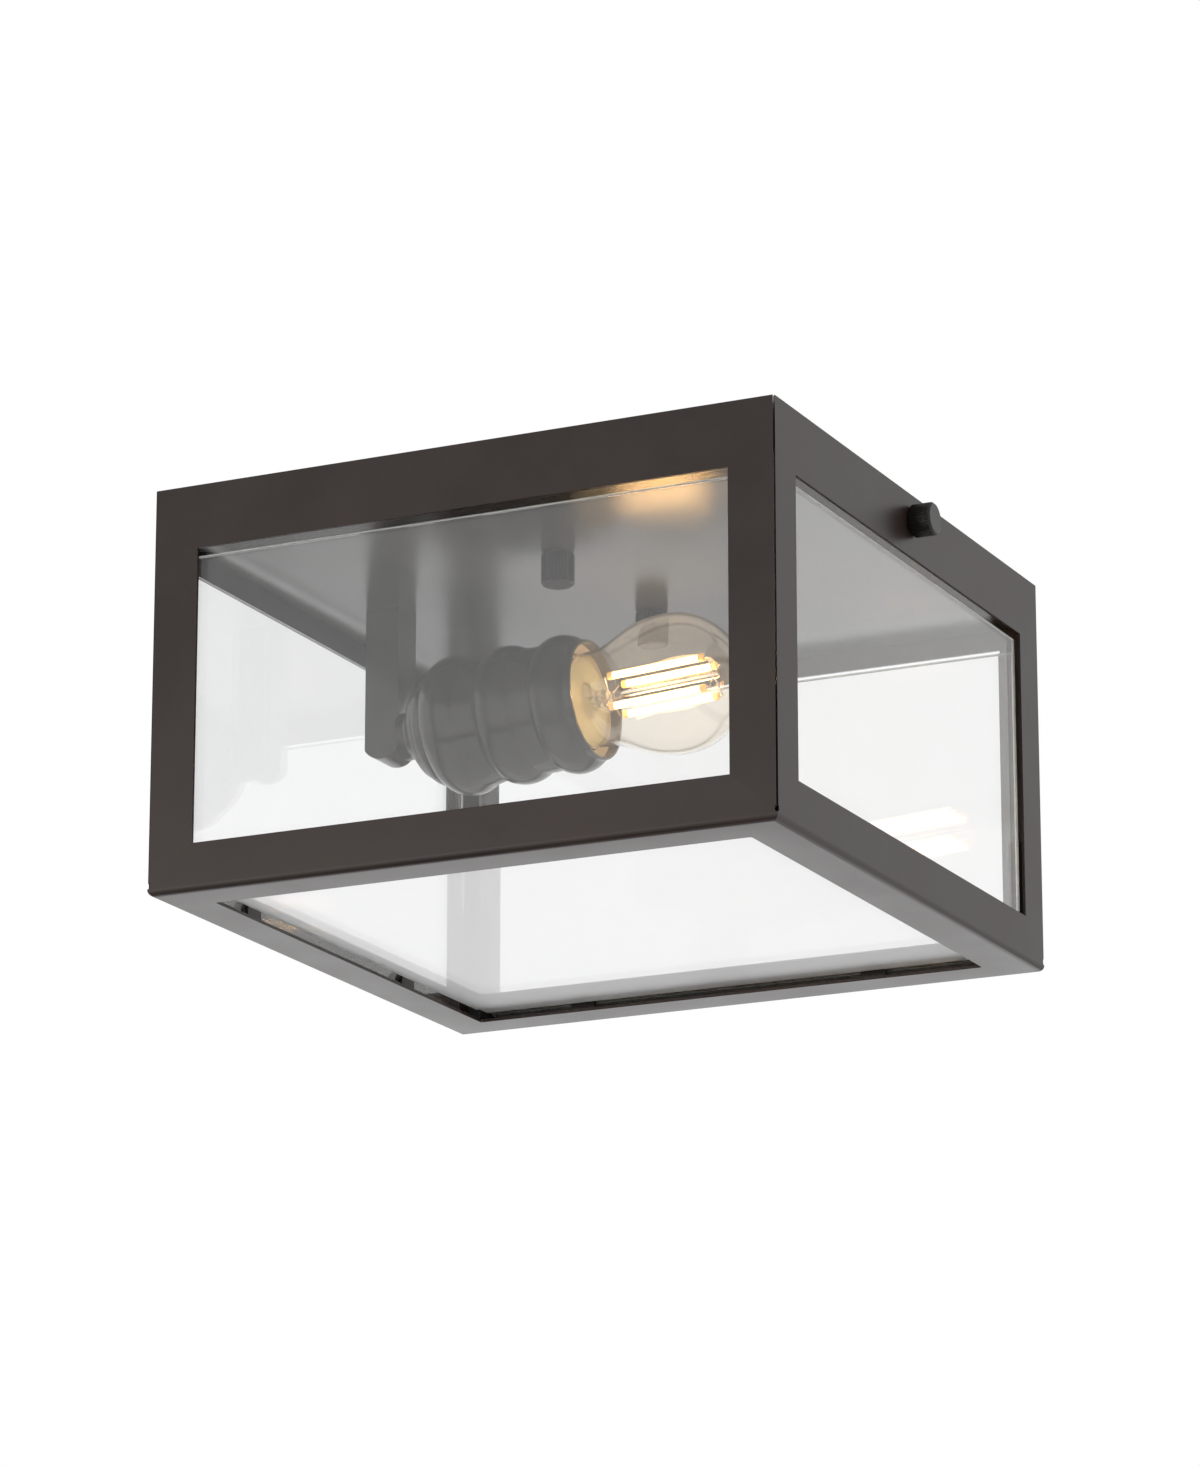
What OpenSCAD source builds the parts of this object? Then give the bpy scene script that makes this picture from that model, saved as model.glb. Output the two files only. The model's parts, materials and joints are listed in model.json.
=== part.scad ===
// Flush mount ceiling light: a folded steel cage with five clear panes, hung from a ceiling pan,
// round one globe bulb in a beaded cup on a side arm. Millimetres, +Z up.
// The origin is on the ceiling plane at the cage's centre. X runs along the front face and Y goes back.

/* [Cage] */
// Width and depth of the cage, outside
cage_w = 241; // [236:1:260]
// Height of the cage, from the ceiling to its bottom face
cage_h = 149; // [146:1:170]
// Thickness of the sheet steel in the cage and the pan
sheet_t = 1.2; // [1:0.1:1.4]
// Width of the stiles beside each side window
stile_w = 17.5; // [16:0.5:20]
// Height of the rail above each side window
top_rail_h = 23.5; // [22:0.5:26]
// Height of the rail below each side window
bottom_rail_h = 17.5; // [15:0.5:20]
// Width of the border round the bottom window
border_w = 17.5; // [16:0.5:19]
// Outer radius of the fold along the bottom edges
cage_fold_r = 2.5; // [2:0.1:3]
// Radius of the bottom window's corners
window_corner_r = 1; // [0.5:0.1:1.5]
// Width of the open seam down each corner
seam_w = 0.7; // [0.5:0.05:1]
// Radius of the relief hole at the foot of a seam
relief_r = 0.75; // [0.6:0.05:1]
// Height of the relief hole above the fold
relief_lift = 0.2; // [0.1:0.1:0.6]
// Height of the relief hole
relief_h = 2.4; // [2.2:0.1:3]

/* [Panes] */
// Thickness of the glass
glass_t = 4; // [3:0.1:4.2]
// Room at each end of a centred side pane
pane_play = 9; // [7:0.5:10]
// Height left open between a side window's upper edge and its pane
pane_shy = 2.5; // [1.5:0.1:3]
// Room between the bottom pane and the tongues to the right and at the back
bottom_play = 2.5; // [1:0.5:4]
// How far the bottom pane lies to the right and to the back
bottom_shift = 2.5; // [0:0.5:3]
// Thickness of the rest pads under the panes
pad_h = 4.3; // [3.5:0.1:5]
// Gap between a pane and the steel beside it
pane_gap = 0.3; // [0.2:0.05:0.5]
// Width of a retaining tongue
tongue_w = 10; // [8:0.5:12]
// Height of a retaining tongue above the inside of the border
tongue_h = 11.5; // [9:0.5:14]
// Width of each leg of a corner clip
clip_leg = 7.5; // [6:0.5:9]
// Height of a corner clip
clip_h = 43.5; // [38:0.5:50]

/* [Ceiling pan] */
// Gap between the cage and the pan, on each side
pan_gap = 2.5; // [2.3:0.1:2.8]
// Height of the pan, from the ceiling to its lower face
pan_h = 17; // [16:0.5:19]
// Outer radius of the fold along the pan's lower edges
pan_fold_r = 2; // [1.6:0.1:2.5]

/* [Mounting bracket] */
// Length of the bar that is screwed to the junction box
box_bar_l = 108; // [100:1:120]
// Length of the bar that carries the studs
stud_bar_l = 100; // [96:1:110]
// Width of both bars
bar_w = 16; // [14:0.5:18]
// Thickness of both bars
bar_t = 2; // [1.6:0.1:2.4]
// Travel of a junction box screw along a slot
slot_run = 9.5; // [8:0.5:11]
// Steel left between a slot and the end of its bar
slot_margin = 7.3; // [6:0.1:8]
// Width of the slots
slot_w = 4.4; // [4.2:0.1:5]
// Spacing of the two studs
stud_spacing = 79; // [74:1:84]
// Radius of a stud
stud_r = 2.1; // [1.9:0.1:2.4]
// Length of a stud below its head
stud_l = 24; // [22:0.5:25]
// Radius of a stud's head
stud_head_r = 3.6; // [3.4:0.1:4]
// Height of a stud's head
stud_head_h = 1.7; // [1.4:0.1:1.8]
// Width across the flats of a lock nut
lock_nut_af = 8.7; // [8:0.1:9]
// Height of a lock nut
lock_nut_h = 3.2; // [2.8:0.1:3.4]
// Place of the ground screw along the stud bar
ground_screw_y = 22; // [18:0.5:26]
// Radius of the ground screw
ground_screw_r = 2; // [1.8:0.1:2.2]
// Radius of the ground screw's head
ground_head_r = 4; // [3.5:0.1:4.5]
// Height of the ground screw's head
ground_head_h = 2; // [1.8:0.1:2.5]
// Radius of the rivet that joins the bars
rivet_r = 2.5; // [2:0.1:3]
// Radius of the rivet's head
rivet_head_r = 4.5; // [4:0.1:5]
// Height of the rivet's head
rivet_head_h = 1.5; // [1.2:0.1:2]

/* [Cap nuts] */
// Radius of a cap nut
cap_nut_r = 6; // [5.5:0.1:6.5]
// Length of a cap nut
cap_nut_l = 12; // [11:0.5:13]
// Chamfer at both ends of a cap nut and of a thumbscrew's head
knob_chamfer = 0.8; // [0.5:0.1:1]
// Depth of the thread in a cap nut
cap_nut_depth = 9.8; // [9.5:0.1:10]
// Gap between a cap nut and the pan
cap_nut_gap = 0.1; // [0.05:0.05:0.2]

/* [Thumbscrews] */
// Height from the thumbscrews' axis up to the ceiling
thumb_drop = 10; // [8:0.5:11]
// Radius of a thumbscrew's head
thumb_head_r = 6; // [5.5:0.1:6.5]
// Length of a thumbscrew's head
thumb_head_l = 8.7; // [8:0.1:10]
// Radius of a thumbscrew's shank
thumb_shank_r = 2; // [1.8:0.1:2.2]
// Depth of the shank in the head
thumb_shank_in = 6.5; // [5:0.5:7]
// Radius of the weld nut inside the cage wall
bush_r = 4.5; // [4:0.1:5]
// Thickness of the weld nut
bush_t = 2; // [1.6:0.1:2.1]

/* [Lamp arm] */
// Width of the arm along X
arm_w = 13.5; // [12:0.5:15]
// Depth of the arm along Y
arm_d = 14; // [13:0.5:16]
// Clear space between the left pane and the arm
arm_clearance = 20; // [18:0.5:22]
// Height from the arm's lower end up to the ceiling
arm_end_drop = 74.4; // [74:0.2:78]
// Radius of the arm's lower end
arm_end_r = 8; // [7.6:0.1:9]
// Radius of the wire bore down the arm
wire_bore_r = 3.2; // [3:0.1:3.4]
// Offset of the wire bore away from the cup
wire_bore_offset = 0.8; // [0.5:0.1:1]
// Outer radius of both hollow nipples
nipple_r = 5; // [4.8:0.1:5.2]
// Bore radius of both hollow nipples
nipple_bore_r = 3.5; // [3.2:0.1:3.6]
// Depth of the upper nipple in the arm
nipple_in_arm = 9; // [7:0.5:12]
// Length of thread that stands clear of the upper nut
nipple_proud = 1; // [0.5:0.1:2]
// Width across the flats of the nipple nuts
nipple_nut_af = 14; // [13:0.5:15]
// Height of the nipple nuts
nipple_nut_h = 3; // [2.5:0.1:3.5]
// Radius of the lock washer under the upper nut
washer_r = 8.5; // [8:0.1:9]
// Thickness of the lock washer
washer_t = 0.8; // [0.6:0.1:1]

/* [Socket cup] */
// Tilt of the lamp axis above the level
lamp_tilt = 3.5; // [0:0.5:5]
// Height from the lamp axis up to the ceiling, where it leaves the arm
lamp_drop = 65.45; // [65:0.05:66]
// Depth of the spot face that seats the cup in the arm
seat_depth = 0.6; // [0.6:0.1:0.8]
// Depth of the cross bore in the arm
cross_bore_depth = 9; // [8:0.5:9.5]
// Reach of the lower nipple into the arm
nipple_back = 4.2; // [3.5:0.1:4.3]
// Reach of the lower nipple into the socket
nipple_front = 20; // [18:0.5:21]
// Length of the cup, from the arm's face to its mouth
cup_l = 77.9; // [77:0.1:80]
// Radius of the cup's neck
neck_r = 8.7; // [8.4:0.1:8.9]
// Length of the cup's neck
neck_l = 3.2; // [2.8:0.1:3.6]
// Radius of the three beads
bead_r = 25.8; // [25.5:0.1:26.2]
// Places of the three beads, as shares of the cup's length
bead_shares = [0.331, 0.6, 0.88];
// Half the length of a bead, as a share of the cup's length
bead_half_share = 0.09; // [0.08:0.002:0.095]
// Height of a bead above its foot
bead_rise = 2.6; // [2:0.1:3]
// Radius of the cup's mouth
mouth_r = 22.3; // [22.1:0.1:23]
// Length of the plain lip at the mouth
lip_l = 2.5; // [2:0.1:3]
// Thickness of the cup's wall
cup_wall = 1.2; // [1:0.1:1.4]
// Place of the cup's back wall, on the inside
cup_back = 9; // [8.5:0.1:10]
// Inside radius of the cup's back wall
cup_back_r = 13.5; // [12:0.1:14]

/* [Socket] */
// Radius of the socket's insulating body
socket_r = 17; // [16.5:0.1:17.5]
// Place of the socket's back face
socket_back = 15; // [14:0.5:16]
// Length of the socket body
socket_l = 53.5; // [53:0.1:54]
// Place of the floor of the socket's well
well_floor = 41; // [40.5:0.1:41.5]
// Radius of the socket's well
well_r = 14.1; // [13.9:0.1:14.3]
// Length of the socket's threaded shell
socket_shell_l = 24; // [22:0.5:25]
// Wall of the threaded shells
shell_wall = 0.45; // [0.4:0.05:0.5]
// Radius of the socket's centre contact
contact_r = 4.5; // [4:0.1:5]
// Thickness of the socket's contact strip
contact_t = 1; // [0.8:0.1:1.2]
// Radius of a lead with its insulation
lead_r = 1; // [0.8:0.1:1.1]
// Half the spacing of the two leads
lead_half_spacing = 1.4; // [1.3:0.1:1.6]
// Bend radius of the leads inside the arm
lead_bend_r = 3; // [2.5:0.1:3.5]

/* [Bulb] */
// Place of the bulb's tip along the lamp axis
tip_place = 44; // [43.8:0.1:44.2]
// Gap between the bulb's tip and the socket's contact
tip_gap = 0.3; // [0.2:0.05:0.5]
// Radius of the solder contact on the bulb's tip
tip_r = 4.8; // [4:0.1:5]
// Height of the solder contact
tip_h = 2; // [1.8:0.1:2.4]
// Wide radius of the insulator round the tip
insulator_r = 10.5; // [10:0.1:11]
// Place of the base shell's lower edge
shell_place = 49; // [48.5:0.1:49.5]
// Outer radius of the base shell's thread
base_r = 13.2; // [13:0.05:13.25]
// Depth of the base shell's thread
thread_depth = 0.6; // [0.4:0.1:0.7]
// Pitch of the base thread
thread_pitch = 3.629;
// Place of the collar's lower edge
collar_place = 69; // [68.8:0.1:69.4]
// Place of the glass's lower edge
glass_place = 72; // [71.5:0.1:72.5]
// Place of the collar's end face inside the glass
disc_place = 75; // [74.5:0.1:75.5]
// Outer radius of the bulb's neck
bulb_neck_r = 17.6; // [17:0.1:18]
// Outer radius of the globe
globe_r = 25.8; // [25:0.1:26.5]
// Place of the globe's centre
globe_place = 110; // [109:0.5:111]
// Wall of the bulb's glass
bulb_wall = 1; // [0.8:0.1:1.2]
// Gap between the collar and the glass round it
collar_gap = 0.1; // [0.05:0.05:0.2]
// Length of a filament
filament_l = 38; // [36:0.5:40]
// Radius of a filament
filament_r = 0.9; // [0.7:0.1:1.1]
// Half the side of the square that the filaments stand in
filament_half = 5.75; // [5:0.25:6.5]
// Place of the filaments' lower ends
filament_place = 86; // [85:0.5:87]
// Radius of the end cap on a filament
filament_cap_r = 1.15; // [0.9:0.05:1.3]
// Length of the end cap on a filament
filament_cap_l = 2.2; // [1.8:0.1:2.6]
// Radius of a support wire
wire_r = 0.35; // [0.3:0.05:0.5]
// Radius of a post on a filament's end
post_r = 0.5; // [0.45:0.05:0.7]
// Length of a post
post_l = 1.6; // [1.4:0.1:1.8]
// Radius of the glass stem at its foot
stem_foot_r = 7; // [6:0.5:8]
// Radius of the glass stem's pinch
stem_r = 3; // [2.6:0.1:3.4]
// Height of the glass stem's flared foot
stem_foot_l = 5; // [4:0.5:6]
// Place of the top of the stem's pinch
pinch_place = 81; // [80:0.5:81.5]
// Radius of the clear rod above the pinch
rod_r = 1.2; // [1:0.1:1.5]
// Place of the rod's end
rod_end = 127; // [126:0.5:128]
// Width of the driver board in the base
board_w = 16; // [14:0.5:18]
// Length of the driver board
board_l = 15; // [13:0.5:16]
// Thickness of the driver board
board_t = 1.2; // [1:0.1:1.6]
// Radius of the capacitor on the driver board
capacitor_r = 4; // [3:0.1:4.5]

/* [Hidden] */
$fn = 64;

// Places of the retaining tongues along the front and back walls
tongue_places_x = [-65, 55];
// Places of the retaining tongues along the left and right walls
tongue_places_y = [-56, 63];
// How far a cutting shape runs past the face that it cuts
cut = 2;
// Radial clearance of a running thread or pin
run_gap = 0.05;
// Radial clearance of a screw in a plain hole
hole_gap = 0.3;
// Sides of a lead, and segments in its bend
lead_sides = 12;
lead_bend_steps = 8;
// Segments in each bead of the cup
bead_steps = 10;
// Segments in the bulb's shoulder and in its round end
globe_steps = 16;

cage_in = cage_w / 2 - sheet_t;
border_top = -cage_h + sheet_t;
pane_out = cage_in - pane_gap;
pane_in = pane_out - glass_t;
tongue_out = pane_in - pane_gap;
tongue_in = tongue_out - sheet_t;
pane_low = border_top + pad_h;
side_pane_w = 2 * (pane_out - pane_play);
bottom_pane_w = 2 * (tongue_in - bottom_play - bottom_shift);
window_w = cage_w - 2 * stile_w;
window_low = -cage_h + bottom_rail_h;
bottom_window_w = cage_w - 2 * border_w;
pad_in = bottom_window_w / 2 + sheet_t;
pad_out = cage_in + sheet_t - cage_fold_r - pane_gap;
pan_w = 2 * (cage_in - pan_gap);
pan_floor = -pan_h + sheet_t;
slot_place = box_bar_l / 2 - slot_margin - (slot_w + slot_run) / 2;
stud_y = stud_spacing / 2;
stud_low = -bar_t - stud_l;
washer_top = pan_floor + washer_t;
nipple_top = washer_top + nipple_nut_h + nipple_proud;
arm_x = pane_in - arm_clearance - arm_w / 2;
arm_face = -arm_x + arm_w / 2;
wire_bore_x = -arm_x - wire_bore_offset;
arm_round_z = -arm_end_drop + arm_end_r;
// Centre of the leads' bend, measured from where the lamp axis leaves the arm
bend_dx = wire_bore_x + lead_bend_r - arm_face;
bend_dz = bend_dx * tan(lamp_tilt) + lead_bend_r / cos(lamp_tilt);
bead_foot_r = bead_r - bead_rise;
thumb_start = cage_w / 2 + pane_gap;
thumb_tip = pan_w / 2 + pane_gap;
base_turns = floor((collar_place - shell_place) / thread_pitch);

// Points from a to b on an arc that bulges to the outside by rise
function bulge(a, b, rise, steps) =
    let (d = b - a, c = norm(d), u = d / c, w = [u[1], -u[0]],
        r = (c * c / 4 + rise * rise) / (2 * rise), f = asin(c / (2 * r)))
    [for (i = [0 : steps]) let (t = f * (2 * i / steps - 1))
        (a + b) / 2 + u * r * sin(t) + w * (r * cos(t) - (r - rise))];

// Points on a cubic curve from p to s with the handles q and r
function curve(p, q, r, s, steps) =
    [for (i = [0 : steps]) let (t = i / steps, v = 1 - t)
        v * v * v * p + 3 * v * v * t * q + 3 * v * t * t * r + t * t * t * s];

// Outline of the cup from the arm to its mouth, as radius and place
function cup_outline() =
    let (b1 = cup_l * bead_shares[0], b2 = cup_l * bead_shares[1], b3 = cup_l * bead_shares[2],
        h = cup_l * bead_half_share,
        ring1 = cup_back - seat_depth, ring2 = b1 - 2 * h - seat_depth / 2, shoulder = b1 - 1.4 * h,
        flare = neck_r + (bead_foot_r - neck_r) / 3, step = cup_wall / 2)
    concat([[neck_r, -seat_depth], [neck_r, neck_l]],
        bulge([neck_r + step, neck_l], [flare, ring1 - 2 * step], -step, 4),
        bulge([flare + step, ring1 - 2 * step], [bead_foot_r - 6 * step - cup_wall, ring2], step, 4),
        bulge([bead_foot_r - 5 * step - cup_wall, ring2], [bead_foot_r - 3 * step - cup_wall / 2, shoulder],
            step / 2, 4),
        bulge([bead_foot_r - step - cup_wall, shoulder + step], [bead_foot_r + step, b1 + 0.7 * h],
            bead_rise + step, bead_steps),
        bulge([bead_foot_r - step, b2 - h - 2 * step], [bead_foot_r, b2 + h], bead_rise, bead_steps),
        bulge([bead_foot_r, b3 - h], [bead_foot_r - step, b3 + h - step], bead_rise, bead_steps),
        [[mouth_r, cup_l - lip_l], [mouth_r, cup_l]]);

// Outline of the bulb's glass from its lower edge to its end, as radius and place, drawn in by inset
function bulb_outline(inset) =
    let (neck = bulb_neck_r - inset, globe = globe_r - inset, bend = disc_place + 4 * bulb_wall,
        run = globe_place - bend)
    concat([[neck, glass_place]],
        curve([neck, bend], [neck, bend + run / 3], [globe, bend + run / 2], [globe, globe_place],
            globe_steps),
        [for (i = [1 : globe_steps]) let (t = 90 * i / globe_steps)
            [globe * cos(t), globe_place + globe * sin(t)]]);

module on_lamp_axis() {
    translate([arm_face, 0, -lamp_drop]) rotate([0, 90 - lamp_tilt, 0]) children();
}

module along_lamp(place) {
    on_lamp_axis() translate([0, 0, place]) children();
}

module at_walls() {
    for (a = [0 : 90 : 270]) rotate(a) children();
}

module on_side(turn) {
    rotate(turn) translate([0, 0, -thumb_drop]) rotate([0, 90, 0]) children();
}

module ring(outer, inner, height) {
    difference() {
        cylinder(r = outer, h = height);
        translate([0, 0, -cut]) cylinder(r = inner, h = height + 2 * cut);
    }
}

module hex_nut(across, bore, height) {
    difference() {
        cylinder(r = across / 2 / cos(30), h = height, $fn = 6);
        translate([0, 0, -cut]) cylinder(r = bore, h = height + 2 * cut);
    }
}

module knob(radius, length) {
    rotate_extrude() polygon([[0, 0], [radius - knob_chamfer, 0], [radius, knob_chamfer],
        [radius, length - knob_chamfer], [radius - knob_chamfer, length], [0, length]]);
}

module fold_profile(width, height, radius, rise) {
    translate([-width / 2, -height + radius]) square([width, height - radius + rise]);
    translate([-width / 2 + radius, -height]) square([width - 2 * radius, height]);
    for (side = [-1, 1]) translate([side * (width / 2 - radius), -height + radius]) circle(radius);
}

module folded_block(width, height, radius, rise) {
    intersection() {
        rotate([90, 0, 0]) linear_extrude(width, center = true) fold_profile(width, height, radius, rise);
        rotate([90, 0, 90]) linear_extrude(width, center = true) fold_profile(width, height, radius, rise);
    }
}

module folded_tray(width, height, radius) {
    difference() {
        folded_block(width, height, radius, 0);
        folded_block(width - 2 * sheet_t, height - sheet_t, radius - sheet_t, cut);
    }
}

module rounded_square(width, radius) {
    square([width, width - 2 * radius], center = true);
    square([width - 2 * radius, width], center = true);
    for (x = [-1, 1], y = [-1, 1]) translate([x, y] * (width / 2 - radius)) circle(radius);
}

// Cut down a corner, pointing out along X from its middle
module corner_seam() {
    translate([-2 * cut, -seam_w / 2, relief_h / 2]) cube([4 * cut, seam_w, cage_h]);
    translate([-2 * cut, -relief_r, relief_r]) cube([4 * cut, 2 * relief_r, relief_h - 2 * relief_r]);
    for (z = [relief_r, relief_h - relief_r]) translate([-2 * cut, 0, z]) rotate([0, 90, 0])
        cylinder(r = relief_r, h = 4 * cut);
}

module cage_frame() color([0.25, 0.22, 0.2]) difference() {
    folded_tray(cage_w, cage_h, cage_fold_r);
    translate([-window_w / 2, -cage_w / 2 - cut, window_low])
        cube([window_w, cage_w + 2 * cut, -top_rail_h - window_low]);
    translate([-cage_w / 2 - cut, -window_w / 2, window_low])
        cube([cage_w + 2 * cut, window_w, -top_rail_h - window_low]);
    translate([0, 0, -cage_h - cut]) linear_extrude(sheet_t + 2 * cut)
        rounded_square(bottom_window_w, window_corner_r);
    at_walls() translate([cage_w / 2, cage_w / 2, -cage_h + cage_fold_r + relief_lift]) rotate(45)
        corner_seam();
    for (turn = [0, 180]) on_side(turn) translate([0, 0, cage_in - cut])
        cylinder(r = thumb_shank_r + hole_gap, h = sheet_t + 2 * cut);
}

// A side pane, against the back wall before it is turned, and slid along that wall
module side_pane(turn, slide) {
    color([0.8, 0.85, 0.85, 0.35]) rotate(turn) translate([slide - side_pane_w / 2, pane_in, pane_low])
        cube([side_pane_w, glass_t, -top_rail_h - pane_shy - pane_low]);
}

module glass_front() side_pane(180, 0);

module glass_back() side_pane(0, 0);

module glass_left() side_pane(90, 0);

// The right pane has slid to the front as far as it goes
module glass_right() side_pane(270, pane_play);

module glass_bottom() color([0.8, 0.85, 0.85, 0.35])
    translate([bottom_shift - bottom_pane_w / 2, bottom_shift - bottom_pane_w / 2, pane_low])
    cube([bottom_pane_w, bottom_pane_w, glass_t]);

// One tongue with its back on the line y = 0
module tongue() {
    rotate([90, 0, 0]) linear_extrude(sheet_t) {
        translate([-tongue_w / 2, 0]) square([tongue_w, tongue_h - tongue_w / 2]);
        translate([0, tongue_h - tongue_w / 2]) circle(tongue_w / 2);
    }
}

module glass_tongues() color([0.3, 0.27, 0.24]) for (side = [-1, 1]) {
    for (x = tongue_places_x) translate([x, side > 0 ? tongue_out : -tongue_in, border_top]) tongue();
    for (y = tongue_places_y) translate([side > 0 ? tongue_in : -tongue_out, y, border_top])
        rotate(90) tongue();
}

module rest_pads() color([0.1, 0.1, 0.1]) at_walls() translate([pad_in, pad_in, border_top])
    cube([pad_out - pad_in, pad_out - pad_in, pad_h]);

module corner_clips() color([0.3, 0.27, 0.24]) at_walls() translate([tongue_out, tongue_out, pane_low]) {
    translate([-clip_leg, -sheet_t, 0]) cube([clip_leg, sheet_t, clip_h]);
    translate([-sheet_t, -clip_leg, 0]) cube([sheet_t, clip_leg, clip_h]);
}

module screw_bushes() color([0.45, 0.45, 0.45]) for (turn = [0, 180])
    on_side(turn) translate([0, 0, cage_in - bush_t]) ring(bush_r, thumb_shank_r + run_gap, bush_t);

module ceiling_pan() color([0.27, 0.24, 0.22]) difference() {
    folded_tray(pan_w, pan_h, pan_fold_r);
    for (side = [-1, 1]) translate([0, side * stud_y, -pan_h - cut])
        cylinder(r = stud_r + hole_gap, h = sheet_t + 2 * cut);
    translate([-arm_x, 0, -pan_h - cut]) cylinder(r = nipple_r + hole_gap, h = sheet_t + 2 * cut);
}

module slot() {
    square([slot_run, slot_w], center = true);
    for (side = [-1, 1]) translate([side * slot_run / 2, 0]) circle(slot_w / 2);
}

module box_bar() color([0.7, 0.7, 0.68]) translate([0, 0, -bar_t]) difference() {
    linear_extrude(bar_t) difference() {
        square([box_bar_l, bar_w], center = true);
        for (side = [-1, 1]) translate([side * slot_place, 0]) slot();
    }
    translate([0, 0, -cut]) cylinder(r = rivet_r + run_gap, h = bar_t + 2 * cut);
}

module stud_bar() color([0.66, 0.66, 0.64]) translate([0, 0, -2 * bar_t]) difference() {
    translate([-bar_w / 2, -stud_bar_l / 2, 0]) cube([bar_w, stud_bar_l, bar_t]);
    for (side = [-1, 1]) translate([0, side * stud_y, -cut])
        cylinder(r = stud_r + run_gap, h = bar_t + 2 * cut);
    translate([0, ground_screw_y, -cut]) cylinder(r = ground_screw_r + run_gap, h = bar_t + 2 * cut);
    translate([0, 0, -cut]) cylinder(r = rivet_r + run_gap, h = bar_t + 2 * cut);
}

module bar_rivet() color([0.6, 0.6, 0.6]) {
    translate([0, 0, -2 * bar_t - rivet_head_h]) cylinder(r = rivet_head_r, h = rivet_head_h);
    translate([0, 0, -2 * bar_t]) cylinder(r = rivet_r, h = 2 * bar_t - pane_gap);
}

module mounting_studs() color([0.72, 0.7, 0.6]) for (side = [-1, 1]) translate([0, side * stud_y, 0]) {
    translate([0, 0, stud_low]) cylinder(r = stud_r, h = stud_l);
    translate([0, 0, -bar_t]) cylinder(r = stud_head_r, h = stud_head_h);
}

module stud_lock_nuts() color([0.65, 0.65, 0.62]) for (side = [-1, 1])
    translate([0, side * stud_y, -2 * bar_t - lock_nut_h]) hex_nut(lock_nut_af, stud_r + run_gap, lock_nut_h);

module ground_screw() color([0.15, 0.5, 0.25]) translate([0, ground_screw_y, -2 * bar_t]) {
    translate([0, 0, -ground_head_h]) cylinder(r = ground_head_r, h = ground_head_h);
    cylinder(r = ground_screw_r, h = 2 * bar_t - pane_gap);
}

module arm_profile() {
    translate([-arm_x - arm_w / 2, arm_round_z]) square([arm_w, -pan_h - arm_round_z]);
    intersection() {
        translate([-arm_x, arm_round_z]) circle(arm_end_r);
        translate([-arm_x - arm_w / 2, arm_round_z - arm_end_r]) square([arm_w, arm_end_r]);
    }
}

module lamp_arm() color([0.3, 0.28, 0.26]) difference() {
    rotate([90, 0, 0]) linear_extrude(arm_d, center = true) arm_profile();
    translate([-arm_x, 0, -pan_h - nipple_in_arm - run_gap])
        cylinder(r = nipple_r + run_gap, h = nipple_in_arm + cut);
    translate([wire_bore_x, 0, -lamp_drop]) cylinder(r = wire_bore_r, h = lamp_drop - pan_h);
    along_lamp(-cross_bore_depth) cylinder(r = nipple_r + run_gap, h = cross_bore_depth + cut);
    along_lamp(-seat_depth) cylinder(r = neck_r + hole_gap, h = seat_depth + cut);
}

module arm_nipple() color([0.75, 0.65, 0.35]) translate([-arm_x, 0, -pan_h - nipple_in_arm])
    ring(nipple_r, nipple_bore_r, nipple_top + pan_h + nipple_in_arm);

module arm_nipple_washer() color([0.62, 0.62, 0.6]) translate([-arm_x, 0, pan_floor])
    ring(washer_r, nipple_r + run_gap, washer_t);

module arm_nipple_nut() color([0.72, 0.62, 0.34]) translate([-arm_x, 0, washer_top])
    hex_nut(nipple_nut_af, nipple_r + run_gap, nipple_nut_h);

module socket_nipple() color([0.75, 0.65, 0.35]) along_lamp(-nipple_back)
    ring(nipple_r, nipple_bore_r, nipple_back + nipple_front);

module socket_nipple_nut() color([0.72, 0.62, 0.34]) along_lamp(cup_back)
    hex_nut(nipple_nut_af, nipple_r + run_gap, nipple_nut_h);

module socket_cup() color([0.29, 0.27, 0.25]) on_lamp_axis() difference() {
    rotate_extrude() polygon(concat([[0, -seat_depth]], cup_outline(), [[0, cup_l]]));
    rotate_extrude() polygon(concat([[0, cup_back], [cup_back_r, cup_back]],
        [for (p = cup_outline()) if (p[1] > cup_back + cup_wall) [p[0] - cup_wall, p[1]]],
        [[mouth_r - cup_wall, cup_l + cut], [0, cup_l + cut]]));
    translate([0, 0, -seat_depth - cut]) cylinder(r = nipple_r + run_gap, h = cup_back + 2 * cut);
}

module socket_body() color([0.85, 0.83, 0.78]) along_lamp(socket_back) difference() {
    cylinder(r = socket_r, h = socket_l);
    translate([0, 0, well_floor - socket_back]) cylinder(r = well_r, h = socket_l);
    translate([0, 0, -cut]) cylinder(r = nipple_r + run_gap, h = nipple_front - socket_back + cut + run_gap);
    cylinder(r = nipple_bore_r, h = socket_l);
}

module socket_screw_shell() color([0.8, 0.7, 0.4]) along_lamp(tip_place)
    ring(well_r - run_gap, well_r - run_gap - shell_wall, socket_shell_l);

module socket_contact() color([0.8, 0.7, 0.4]) along_lamp(well_floor) {
    cylinder(r = contact_r, h = contact_t);
    cylinder(r1 = contact_r, r2 = contact_r / 2, h = tip_place - tip_gap - well_floor);
}

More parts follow.
